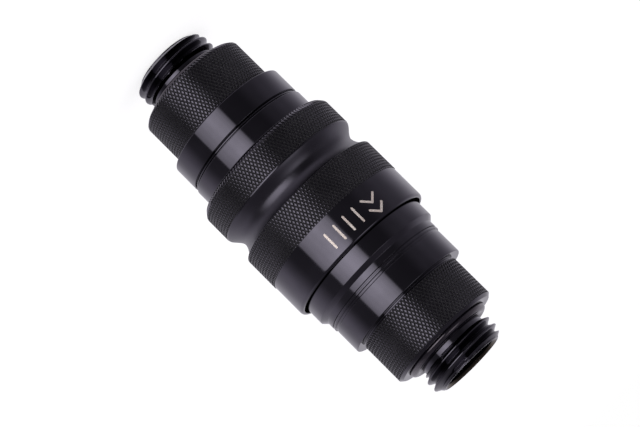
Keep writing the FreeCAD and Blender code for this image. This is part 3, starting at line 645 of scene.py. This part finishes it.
def make_cap(name, at, crest, body, node_name, smooth_chamfer):
    """One cap, from its rim inwards: thread, seal recess, knurled grip and smooth collar. On a smooth
    chamfer the knurl has been turned away."""
    root = GRIP_RADIUS - KNURL_DEPTH
    line = SEAT_HEIGHT + PLAIN_EDGE
    slope = (GRIP_RADIUS - SEAT_RADIUS) / (GRIP_START - SEAT_HEIGHT)
    line_radius = SEAT_RADIUS + PLAIN_EDGE * slope
    if smooth_chamfer:
        line, line_radius = GRIP_START, GRIP_RADIUS
    cap = turn(name, [
        (PORT_MOUTH, at(0), 0.03),
        (RIM_RADIUS, at(0), 0.04),
        (RIM_RADIUS, at(RIM_HEIGHT), 0),
        (THREAD_MINOR, at(ROOT_START), 0),
        (THREAD_MINOR, at(THREAD_END), 0),
        (NECK_RADIUS, at(THREAD_END + THREAD_RUN_OUT), 0),
        (NECK_RADIUS, at(SEAT_FLOOR)),
        (RECESS_RADIUS, at(SEAT_FLOOR)),
        (RECESS_RADIUS, at(SEAT_HEIGHT), 0.08),
        (SEAT_RADIUS, at(SEAT_HEIGHT), 0.08),
        (line_radius, at(line), 0.02),
        (line_radius - KNURL_DEPTH, at(line), 0),
        (root, at(GRIP_START + 0.01)),
        (root, at(GRIP_END - BAND_LIP)),
        (GRIP_RADIUS, at(GRIP_END - BAND_LIP)),
        (GRIP_RADIUS, at(GRIP_END)),
        (RELIEF_RADIUS, at(GRIP_END)),
        (RELIEF_RADIUS, at(RELIEF_END)),
        (COLLAR_RADIUS, at(RELIEF_END), 0.16),
        (COLLAR_RADIUS, at(CAP_LENGTH), 0.14),
        (CAP_BORE, at(CAP_LENGTH)),
        (CAP_BORE, at(CAP_FLOOR)),
        (FLARE_RADIUS, at(CAP_FLOOR)),
        (PORT_RADIUS, at(CAP_FLOOR - FLARE_LENGTH)),
        (PORT_RADIUS, at(PORT_MOUTH - PORT_RADIUS)),
    ])
    middle = (SEAT_HEIGHT + GRIP_START) / 2
    grip = knurl(GRIP_RADIUS, line, GRIP_END - BAND_LIP, GRIP_TEETH, GRIP_PITCH, middle, (GRIP_START, slope))
    for vertex in grip.data.vertices:
        vertex.co.z = at(vertex.co.z)
    edit_mode(grip)
    bpy.ops.mesh.normals_make_consistent(inside=False)
    object_mode()
    join(cap, grip, make_thread(at, crest))
    finish_piece(cap, name, body, plating, (node_name,))
    # The port's bore takes the brass with painted shade.
    cap.data.materials.append(bore_brass_painted_shade)
    for face in cap.data.polygons:
        distance = at(face.center.z / MM)
        if math.hypot(*face.center[:2]) < (PORT_MOUTH - 0.03) * MM and 0.03 < distance < CAP_FLOOR:
            face.material_index = 1
    # Painted shade in the grip's grooves and on its teeth's flanks.
    paint_groove_shade(cap, GRIP_RADIUS, *sorted((at(GRIP_START), at(GRIP_END - 0.06))))
    return cap


def make_port_seal(name, at, body, node_name):
    """The rubber ring in the cap's recess, pressed a little flat, with the fine line of its mould."""
    radius = SEAL_WIRE / 2
    half = SEAL_HEIGHT / 2
    centre = NECK_RADIUS + RUNNING_GAP + radius
    height = at(SEAT_FLOOR - half)
    points = []
    for i in range(36):
        angle = i * math.pi / 18
        reach = radius + (0.012 if i in (0, 18) else 0)
        points.append((centre + reach * math.cos(angle), height + half * math.sin(angle), 0))
    seal = turn(name, points)
    return finish_piece(seal, name, body, rubber, (node_name,))


make_cap("socket_cap", from_socket_rim, SOCKET_CREST, "socket", "socket_port_cap", smooth_chamfer=False)
make_cap("plug_cap", from_plug_rim, PLUG_CREST, "plug", "plug_port_cap", smooth_chamfer=True)
make_port_seal("socket_face_seal", from_socket_rim, "socket", "socket_port_seal")
make_port_seal("plug_face_seal", from_plug_rim, "plug", "plug_port_seal")


# The socket half.

def make_collar():
    """The smooth collar behind the sleeve, with one raised line round its neck."""
    line_radius, line_low, line_high = COLLAR_LINE
    collar = turn("collar", [
        (CAP_BORE, CAP_LENGTH), (COLLAR_NECK, CAP_LENGTH), (COLLAR_NECK, line_low), (line_radius, line_low),
        (line_radius, line_high), (COLLAR_NECK, line_high), (COLLAR_NECK, COLLAR_REAR_START),
        (COLLAR_REAR_RADIUS, COLLAR_REAR_START, 0.12), (COLLAR_REAR_RADIUS, COLLAR_END),
        (CAP_BORE, COLLAR_END),
    ])
    return finish_piece(collar, "collar", "socket", plating, ("rear_collar",))


def make_socket_tube():
    """The bare tube inside, with its lock groove and the windows in it."""
    seal_low, seal_high = SOCKET_TAIL_GROOVE
    lock_floor, lock_low, lock_high = LOCK_GROOVE
    lock_middle = (lock_low + lock_high) / 2
    tube = turn("socket_tube", [
        (FLARE_RADIUS, TUBE_START), (TAIL_RADIUS, TUBE_START), (TAIL_RADIUS, seal_low),
        (TAIL_SEAL_FLOOR, seal_low), (TAIL_SEAL_FLOOR, seal_high), (TAIL_RADIUS, seal_high),
        (TAIL_RADIUS, HEAD_START), (HEAD_RADIUS, HEAD_START), (HEAD_RADIUS, lock_low),
        (lock_floor, lock_low), (lock_floor, lock_high), (HEAD_RADIUS, lock_high),
        (HEAD_RADIUS, MEETING_FACE), (BODY_BORE + MOUTH_CHAMFER, MEETING_FACE),
        (BODY_BORE, MEETING_FACE - MOUTH_CHAMFER), (BODY_BORE, TUBE_BORE_START),
        (FLARE_RADIUS, TUBE_BORE_START),
    ], steps=INNER_STEPS)
    for i in range(LOCK_WINDOWS):
        bpy.ops.object.select_all(action="DESELECT")
        bpy.ops.mesh.primitive_cube_add(size=1, location=(HEAD_RADIUS, 0, lock_middle))
        window = bpy.context.object
        edit_mode(window)
        bpy.ops.transform.resize(value=(2 * HEAD_RADIUS, LOCK_WINDOW_WIDTH, lock_high - lock_low))
        bpy.ops.transform.rotate(value=i * 2 * math.pi / LOCK_WINDOWS, orient_axis="Z",
                                 center_override=(0, 0, lock_middle))
        object_mode()
        cut_away(tube, window)
    return finish_piece(tube, "socket_tube", "socket", brass, ("socket_body",))


def make_stem():
    """The fixed stem with its drilled foot and valve head."""
    neck_low, neck_high = STEM_NECK
    flare_radius, flare_end = STEM_FLARE
    seal_high = STEM_SEAL_LOW + HEAD_SEAL_WIRE
    face = VALVE_FACE - FACE_GAP
    stem = turn("stem", [
        (0, CAP_FLOOR, 0), (TAIL_RADIUS, CAP_FLOOR), (TAIL_RADIUS, TUBE_START), (HUB_RADIUS, TUBE_START),
        (STEM_RADIUS, neck_low, 0.3), (STEM_RADIUS, neck_high, 0.6), (flare_radius, flare_end),
        (VALVE_RADIUS, flare_end),
        (VALVE_RADIUS, STEM_SEAL_LOW), (HEAD_SEAL_FLOOR, STEM_SEAL_LOW), (HEAD_SEAL_FLOOR, seal_high),
        (VALVE_RADIUS, seal_high), (VALVE_RADIUS, face), (0, face, 0),
    ], closed=False, steps=INNER_STEPS)
    drill_ports(stem, CAP_FLOOR, TUBE_START)
    return finish_piece(stem, "stem", "socket", brass, ("valve_stem",))


def make_ring_valve():
    """The sliding ring that closes on the stem's head."""
    seal_low, seal_high = SLIDING_GROOVE
    valve = turn("sliding_valve", [
        (SLIDING_LIP, SLIDING_START), (NOSE_RADIUS, SLIDING_START), (NOSE_RADIUS, seal_low),
        (NOSE_SEAL_FLOOR, seal_low), (NOSE_SEAL_FLOOR, seal_high), (NOSE_RADIUS, seal_high),
        (NOSE_RADIUS, NOSE_TIP), (VALVE_BORE, NOSE_TIP), (VALVE_BORE, SLIDING_LIP_END),
        (SLIDING_LIP, SLIDING_LIP_END),
    ], steps=INNER_STEPS)
    return finish_piece(valve, "sliding_valve", "ring_valve", brass, ("ring_valve",))


def make_small_seal(name, inner, wire, low, body, node_name):
    seal = ring(name, inner, inner + wire, low, low + wire, steps=INNER_STEPS)
    return finish_piece(seal, name, body, rubber, (node_name,))


make_collar()
make_socket_tube()
make_stem()
make_ring_valve()
make_small_seal("socket_tail_seal", TAIL_SEAL_FLOOR, TAIL_SEAL_WIRE, SOCKET_TAIL_GROOVE[0] + RUNNING_GAP,
                "socket", "socket_cap_seal")
make_small_seal("stem_head_seal", HEAD_SEAL_FLOOR, HEAD_SEAL_WIRE, STEM_SEAL_LOW, "socket", "stem_seal")
make_small_seal("sliding_valve_seal", NOSE_SEAL_FLOOR, NOSE_SEAL_WIRE, SLIDING_GROOVE[0],
                "ring_valve", "ring_valve_seal")


# The release sleeve.

def make_sleeve():
    """The knurled sleeve. Its spring and the lock ring lie in its bore."""
    one, one_low, one_high = KNURL_ONE
    two, two_low, two_high = KNURL_TWO
    line = SLEEVE_REAR + PLAIN_EDGE
    slope = (one - REAR_RADIUS) / (one_low - SLEEVE_REAR)
    line_radius = REAR_RADIUS + PLAIN_EDGE * slope
    two_lead = two_low + KNURL_LEAD
    floor_radius, floor_height = WAIST_FLOOR
    pocket, pocket_low, pocket_high = RELEASE_POCKET
    flange_bore = TAIL_RADIUS + RUNNING_GAP
    land_bore = HEAD_RADIUS + RUNNING_GAP
    fall = curve((LAND_RADIUS, WAIST_START), (LAND_RADIUS - 0.05, WAIST_START + 0.4),
                 (floor_radius, floor_height - 0.9), WAIST_FLOOR)
    climb = curve(WAIST_FLOOR, (floor_radius, floor_height + 0.75),
                  (WAIST_END_RADIUS - 0.53, two_low - 0.53), (WAIST_END_RADIUS, two_low - 0.02))
    lip = curve((SKIRT_RADIUS, SKIRT_END - 0.55), (SKIRT_RADIUS, SKIRT_END - 0.22),
                (SKIRT_RADIUS - 0.14, SKIRT_END), (SKIRT_RADIUS - 0.38, SKIRT_END), 9)
    sleeve = turn("sleeve_body", [
        (SLEEVE_BORE, SLEEVE_REAR), (REAR_RADIUS, SLEEVE_REAR, 0.08), (line_radius, line, 0.02),
        (line_radius - KNURL_DEPTH, line, 0), (one - KNURL_DEPTH, one_low), (one - KNURL_DEPTH, one_high),
        (LAND_RADIUS, one_high, 0.03), *fall, *climb[1:], (two - KNURL_LEAD, two_low, 0.03),
        (two, two_lead, 0.03), (two - KNURL_DEPTH, two_lead, 0), (two - KNURL_DEPTH, two_high),
        (SKIRT_RADIUS, two_high, 0.03), *lip, (SKIRT_BORE, SKIRT_END, 0.05),
        (SKIRT_BORE, LOCK_LAND_END), (land_bore, LOCK_LAND_END), (land_bore, pocket_high),
        (pocket, pocket_high), (pocket, pocket_low), (SPRING_SPACE, pocket_low), (SPRING_SPACE, FLANGE_END),
        (flange_bore, FLANGE_END), (flange_bore, COLLAR_END), (SLEEVE_BORE, COLLAR_END),
    ])
    middle = (SLEEVE_REAR + one_low) / 2 + 0.05
    join(sleeve, knurl(one, line, one_high, SLEEVE_TEETH, SLEEVE_PITCH, middle, (one_low, slope)),
         knurl(two, two_lead, two_high, SLEEVE_TEETH, SLEEVE_PITCH, two_low + 0.35))
    finish_piece(sleeve, "sleeve_body", "sleeve", plating, ("release_sleeve",))
    sleeve.data.materials.append(waist_plating)
    for face in sleeve.data.polygons:
        height = face.center.z / MM
        radius = math.hypot(*face.center[:2]) / MM
        if WAIST_START + 0.1 < height < two_low - 0.15 and radius > floor_radius - 0.15:
            face.material_index = 1
    # Painted shade in both knurls' grooves and on their teeth's flanks.
    paint_groove_shade(sleeve, one, one_low, one_high)
    paint_groove_shade(sleeve, two, two_low + 0.11, two_high)
    return sleeve


def make_mark(points, width):
    """A line burnt into the skirt's plating, through points of (arc length from -Y, height)."""
    strokes = []
    for start, end in zip(points, points[1:]):
        a, b = Vector(start), Vector(end)
        bpy.ops.object.select_all(action="DESELECT")
        bpy.ops.mesh.primitive_plane_add(size=1, location=(0, 0, 0))
        stroke = bpy.context.object
        edit_mode(stroke)
        bpy.ops.transform.resize(value=((b - a).length, width, 1))
        bpy.ops.mesh.subdivide(number_cuts=7)
        object_mode()
        half = (b - a).length / 2
        for vertex in stroke.data.vertices:
            along, side = vertex.co.x, vertex.co.y
            round_off = width / 2 - math.sqrt(max(0, (width / 2) ** 2 - side ** 2))
            if abs(abs(along) - half) < 0.0001:
                along = math.copysign(half + width / 2 - round_off, along)
            forward = (b - a).normalized()
            spot = a + (b - a) / 2 + forward * along + Vector((-forward.y, forward.x)) * side
            angle = spot.x / SKIRT_RADIUS
            radius = SKIRT_RADIUS + MARK_RISE
            vertex.co = (radius * math.sin(angle), -radius * math.cos(angle), spot.y)
        strokes.append(stroke)
    return join(*strokes)


def make_sleeve_marks():
    """Two chevrons that show which way the sleeve is pushed, and a row of four plain bars beside them."""
    left = CHEVRON_CENTRE - CHEVRON_HALF_WIDTH
    right = CHEVRON_CENTRE + CHEVRON_HALF_WIDTH
    marks = []
    for tip in CHEVRON_TIPS:
        foot = tip - CHEVRON_REACH
        marks.append(make_mark([(left, foot), (CHEVRON_CENTRE, tip), (right, foot)], CHEVRON_LINE))
    for i in range(BAR_COUNT):
        place = BAR_FIRST + BAR_STEP * i
        marks.append(make_mark([(place, height) for height in BAR_HEIGHTS], BAR_LINE))
    return finish_piece(join(*marks), "sleeve_marks", "sleeve", champagne)


make_sleeve()
make_sleeve_marks()


# The plug half.

def make_plug_tube():
    """The plug half's body: nose, smooth drum, cone, step, thin ring and screwed tail."""
    nose_low, nose_high = NOSE_GROOVE
    lock_floor, lock_low, lock_high = NOSE_LOCK_GROOVE
    lock_slope = NOSE_RADIUS - lock_floor
    cone_low, cone_high = CHAMBER_CONE
    tail_low, tail_high = PLUG_TAIL_GROOVE
    tail_end = GUIDE_DISC[0]
    step, ring_low, ring_high, cap_start = RIDGE_HEIGHTS
    tube = turn("plug_tube", [
        (VALVE_BORE, NOSE_TIP), (NOSE_RADIUS - MOUTH_CHAMFER, NOSE_TIP),
        (NOSE_RADIUS, NOSE_TIP + MOUTH_CHAMFER), (NOSE_RADIUS, nose_low),
        (NOSE_SEAL_FLOOR, nose_low), (NOSE_SEAL_FLOOR, nose_high), (NOSE_RADIUS, nose_high),
        (NOSE_RADIUS, lock_low - lock_slope), (lock_floor, lock_low), (lock_floor, lock_high),
        (NOSE_RADIUS, lock_high),
        (NOSE_RADIUS, MEETING_FACE), (DRUM_RADIUS, MEETING_FACE, 0.1), (DRUM_RADIUS, DRUM_END, 0.12),
        (SHOULDER_RADIUS, SHOULDER_START, 0.1), (SHOULDER_RADIUS, step), (RIDGE_FLOOR, step),
        (RIDGE_FLOOR, ring_low), (SHOULDER_RADIUS, ring_low), (SHOULDER_RADIUS, ring_high),
        (RIDGE_FLOOR, ring_high), (RIDGE_FLOOR, cap_start), (TAIL_RADIUS, cap_start),
        (TAIL_RADIUS, tail_low), (TAIL_SEAL_FLOOR, tail_low), (TAIL_SEAL_FLOOR, tail_high),
        (TAIL_RADIUS, tail_high), (TAIL_RADIUS, tail_end), (CHAMBER_RADIUS, tail_end),
        (CHAMBER_RADIUS, cone_high), (VALVE_BORE, cone_low),
    ])
    return finish_piece(tube, "plug_tube", "plug", plating, ("plug_body",))


def make_poppet():
    """The plug half's valve with its shaft."""
    seal_high = POPPET_SEAL_LOW + HEAD_SEAL_WIRE
    poppet = turn("valve_poppet", [
        (0, VALVE_FACE, 0), (VALVE_RADIUS, VALVE_FACE), (VALVE_RADIUS, POPPET_SEAL_LOW),
        (HEAD_SEAL_FLOOR, POPPET_SEAL_LOW), (HEAD_SEAL_FLOOR, seal_high), (VALVE_RADIUS, seal_high),
        (VALVE_RADIUS, POPPET_HEAD_END), (POPPET_FLANGE, POPPET_FLANGE_START), (POPPET_FLANGE, POPPET_REST),
        (POPPET_SHAFT, POPPET_REST), (POPPET_SHAFT, POPPET_END, 0.3), (0, POPPET_END, 0),
    ], closed=False, steps=INNER_STEPS)
    return finish_piece(poppet, "valve_poppet", "poppet", brass, ("poppet",))


def make_guide():
    """The drilled disc and hub that guide the poppet's shaft."""
    bore = POPPET_SHAFT + RUNNING_GAP
    low, high = GUIDE_DISC
    guide = turn("guide", [
        (bore, GUIDE_START), (GUIDE_SEAT, GUIDE_START), (GUIDE_SEAT, GUIDE_START + 1),
        (HUB_RADIUS, GUIDE_START + 1), (HUB_RADIUS, low), (TAIL_RADIUS, low), (TAIL_RADIUS, high),
        (bore, high),
    ], steps=INNER_STEPS)
    drill_ports(guide, low, high)
    return finish_piece(guide, "guide", "plug", brass, ("poppet_guide",))


make_plug_tube()
make_poppet()
make_guide()
make_small_seal("plug_nose_seal", NOSE_SEAL_FLOOR, NOSE_SEAL_WIRE, NOSE_GROOVE[0] + RUNNING_GAP,
                "nose_seal", "nose_seal")
make_small_seal("valve_poppet_seal", HEAD_SEAL_FLOOR, HEAD_SEAL_WIRE, POPPET_SEAL_LOW,
                "poppet", "poppet_seal")
make_small_seal("plug_tail_seal", TAIL_SEAL_FLOOR, TAIL_SEAL_WIRE, PLUG_TAIL_GROOVE[0] + RUNNING_GAP,
                "plug", "plug_cap_seal")


# Springs, wound between the seats of the two bodies that press on them.

def make_spring(name, inner, wire, low, high, coils, node_name):
    """A spring wound between two seats. inner is the radius inside it, wire its thickness."""
    coil = wind_spring(name, inner, wire, low, high, coils)
    coil.name = name
    only(coil)
    bpy.ops.transform.resize(value=(MM, MM, MM), center_override=(0, 0, 0))
    bpy.ops.object.transform_apply(location=True, rotation=True, scale=True)
    bpy.ops.object.shade_smooth_by_angle(angle=math.radians(40))
    coil.data.materials.append(steel)
    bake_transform(coil)
    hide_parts(node_name)
    return coil


make_spring("sleeve_coil", TAIL_RADIUS + 2 * RUNNING_GAP, SLEEVE_COIL_WIRE, SLEEVE_COIL_START,
            HEAD_START, 4, "sleeve_spring")
make_spring("sliding_valve_coil", SLIDING_COIL_RADIUS, SLIDING_COIL_WIRE, TUBE_BORE_START,
            SLIDING_START, 3, "ring_valve_spring")
make_spring("poppet_coil", POPPET_COIL_RADIUS, POPPET_COIL_WIRE, POPPET_REST, GUIDE_START, 6,
            "poppet_spring")

for name in ("lock_ring", "spring_washer"):
    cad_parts[name].data.materials.clear()
    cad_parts[name].data.materials.append(steel)


# Studio: a white sweep, a floor, two softboxes and the camera.

def fill_ramp(tree, stops, tint):
    """A smooth ramp through pairs of (place, level)."""
    ramp = node(tree, "ShaderNodeValToRGB")
    ramp.color_ramp.interpolation = "EASE"
    while len(ramp.color_ramp.elements) > 1:
        ramp.color_ramp.elements.remove(ramp.color_ramp.elements[-1])
    for i, (place, level) in enumerate(stops):
        stop = ramp.color_ramp.elements[0] if i == 0 else ramp.color_ramp.elements.new(place)
        stop.position = place
        stop.color = (*[part * level for part in tint], 1)
    return ramp


def make_world():
    """White to the camera. In reflections the room is dark in front and above, and pale behind."""
    world = bpy.data.worlds.new("studio")
    bpy.context.scene.world = world
    world.use_nodes = True
    tree = world.node_tree
    tree.nodes.clear()
    place = node(tree, "ShaderNodeTexCoord")
    parts = node(tree, "ShaderNodeSeparateXYZ")
    link(tree, place.outputs["Generated"], parts.inputs["Vector"])
    ahead = node(tree, "ShaderNodeMath", operation="MULTIPLY")
    ahead.inputs[1].default_value = -1
    link(tree, parts.outputs["Y"], ahead.inputs[0])
    azimuth = node(tree, "ShaderNodeMath", operation="ARCTAN2")
    link(tree, parts.outputs["X"], azimuth.inputs[0])
    link(tree, ahead.outputs[0], azimuth.inputs[1])
    share = node(tree, "ShaderNodeMapRange")
    share.inputs["From Min"].default_value = -math.pi
    share.inputs["From Max"].default_value = math.pi
    link(tree, azimuth.outputs[0], share.inputs["Value"])
    # The level of the room's walls all round, by azimuth in degrees.
    walls = [(-180, 0.6), (-160, 0.7), (-142, 0.95), (-92, 0.4), (-66, 0.24), (-42, 0.12), (-8, 0.14),
             (58, 0.17), (72, 0.19), (112, 0.95), (138, 0.95), (160, 0.7), (180, 0.6)]
    ramp = fill_ramp(tree, [(0.5 + degrees / 360, level) for degrees, level in walls], (0.98, 0.95, 1.04))
    link(tree, share.outputs["Result"], ramp.inputs["Fac"])
    under = node(tree, "ShaderNodeMapRange", interpolation_type="SMOOTHSTEP")
    under.inputs["From Min"].default_value = -0.6
    under.inputs["From Max"].default_value = -0.9
    link(tree, parts.outputs["Z"], under.inputs["Value"])
    over = node(tree, "ShaderNodeMapRange", interpolation_type="SMOOTHSTEP")
    over.inputs["From Min"].default_value = 0.45
    over.inputs["From Max"].default_value = 0.85
    link(tree, parts.outputs["Z"], over.inputs["Value"])
    ceiling = node(tree, "ShaderNodeMix", data_type="RGBA")
    ceiling.inputs["B"].default_value = (0.2, 0.19, 0.215, 1)
    link(tree, over.outputs["Result"], ceiling.inputs["Factor"])
    link(tree, ramp.outputs["Color"], ceiling.inputs["A"])
    ground = node(tree, "ShaderNodeMix", data_type="RGBA")
    ground.inputs["B"].default_value = (0.9, 0.87, 0.94, 1)
    link(tree, under.outputs["Result"], ground.inputs["Factor"])
    link(tree, ceiling.outputs["Result"], ground.inputs["A"])
    room = node(tree, "ShaderNodeBackground")
    link(tree, ground.outputs["Result"], room.inputs["Color"])
    white = node(tree, "ShaderNodeBackground")
    white.inputs["Color"].default_value = (1, 1, 1, 1)
    path = node(tree, "ShaderNodeLightPath")
    blend = node(tree, "ShaderNodeMixShader")
    link(tree, path.outputs["Is Camera Ray"], blend.inputs["Fac"])
    link(tree, room.outputs[0], blend.inputs[1])
    link(tree, white.outputs[0], blend.inputs[2])
    out = node(tree, "ShaderNodeOutputWorld")
    link(tree, blend.outputs[0], out.inputs["Surface"])


def make_softbox(name, azimuth, elevation, width, height, radiance, soft, profile, distance=0.6):
    """A square lamp that faces the coupling. Angles are in degrees, seen from the coupling, and azimuth 0
    is -Y. soft is the share of its height that fades at each end, profile gives its level from its left
    to its right. distance is in metres."""
    a, e = math.radians(azimuth), math.radians(elevation)
    direction = Vector((math.sin(a) * math.cos(e), -math.cos(a) * math.cos(e), math.sin(e)))
    middle = Vector((0, 0, LENGTH * MM / 2))
    bpy.ops.object.light_add(type="AREA", location=middle + direction * distance)
    lamp = bpy.context.object
    lamp.name = name
    lamp.rotation_euler = direction.to_track_quat("Z", "Y").to_euler()
    lamp.data.shape = "RECTANGLE"
    lamp.data.size = 2 * distance * math.tan(math.radians(width / 2))
    lamp.data.size_y = 2 * distance * math.tan(math.radians(height / 2))
    lamp.data.energy = radiance * math.pi * lamp.data.size * lamp.data.size_y
    lamp.visible_camera = False
    lamp.data.use_nodes = True
    tree = lamp.data.node_tree
    emission = tree.nodes["Emission"]
    spot = node(tree, "ShaderNodeNewGeometry")
    parts = node(tree, "ShaderNodeSeparateXYZ")
    link(tree, spot.outputs["Parametric"], parts.inputs["Vector"])
    total = fill_ramp(tree, profile, (1, 1, 1))
    link(tree, parts.outputs["X"], total.inputs["Fac"])
    for start, end in ((0, soft), (1, 1 - soft)):
        edge = node(tree, "ShaderNodeMapRange", interpolation_type="SMOOTHSTEP")
        edge.inputs["From Min"].default_value = start
        edge.inputs["From Max"].default_value = end
        link(tree, parts.outputs["Y"], edge.inputs["Value"])
        product = node(tree, "ShaderNodeMath", operation="MULTIPLY")
        link(tree, total.outputs[0], product.inputs[0])
        link(tree, edge.outputs["Result"], product.inputs[1])
        total = product
    link(tree, total.outputs[0], emission.inputs["Strength"])
    return lamp


def make_floor():
    """A plain pale floor. It shines white to the camera and keeps a soft shadow."""
    bpy.ops.object.select_all(action="DESELECT")
    bpy.ops.mesh.primitive_circle_add(vertices=96, radius=1.5, fill_type="NGON", location=(0, 0, 0))
    floor = bpy.context.object
    floor.name = "floor"
    material = bpy.data.materials.new("floor_paint")
    material.use_nodes = True
    tree = material.node_tree
    surface = tree.nodes["Principled BSDF"]
    surface.inputs["Base Color"].default_value = (0.8, 0.8, 0.8, 1)
    surface.inputs["Roughness"].default_value = 0.9
    glow = node(tree, "ShaderNodeMath", operation="MULTIPLY")
    glow.inputs[1].default_value = 0.75
    path = node(tree, "ShaderNodeLightPath")
    link(tree, path.outputs["Is Camera Ray"], glow.inputs[0])
    surface.inputs["Emission Color"].default_value = (1, 1, 1, 1)
    link(tree, glow.outputs[0], surface.inputs["Emission Strength"])
    floor.data.materials.append(material)
    floor.visible_glossy = False


def make_camera():
    """The photograph's view: rolled so that the axis runs down to the right, and looking down a little."""
    down = math.radians(CAMERA_TILT)
    right = Vector((-PICTURE_ACROSS, PICTURE_ALONG * math.sin(down), PICTURE_ALONG * math.cos(down)))
    up = Vector((-PICTURE_ALONG, -PICTURE_ACROSS * math.sin(down), -PICTURE_ACROSS * math.cos(down)))
    back = Vector((0, -math.cos(down), math.sin(down)))
    aim = Vector((0, 0, CAMERA_AIM)) + right * CAMERA_SHIFT_RIGHT - up * CAMERA_SHIFT_DOWN
    place = (aim + back * CAMERA_DISTANCE) * MM
    bpy.ops.object.camera_add(location=place)
    camera = bpy.context.object
    camera.matrix_world = Matrix((
        (right.x, up.x, back.x, place.x),
        (right.y, up.y, back.y, place.y),
        (right.z, up.z, back.z, place.z),
        (0, 0, 0, 1),
    ))
    camera.data.lens = CAMERA_LENS
    camera.data.sensor_width = 36
    camera.data.clip_start = 0.01
    bpy.context.scene.camera = camera


make_world()
make_softbox("key_softbox", azimuth=23.5, elevation=-11, width=59, height=74, radiance=3.1, soft=0.07,
             profile=[(0, 0), (0.08, 0.5), (0.17, 0.72), (0.29, 0.9), (0.44, 1), (0.6, 0.84),
                      (0.76, 0.66), (0.95, 0.46), (1, 0)])
make_softbox("high_softbox", azimuth=-33, elevation=50, width=44, height=40, radiance=1.3, soft=0.4,
             profile=[(0, 0), (0.4, 1), (0.6, 1), (1, 0)])
make_floor()
make_camera()
bpy.context.scene.view_settings.view_transform = "Standard"
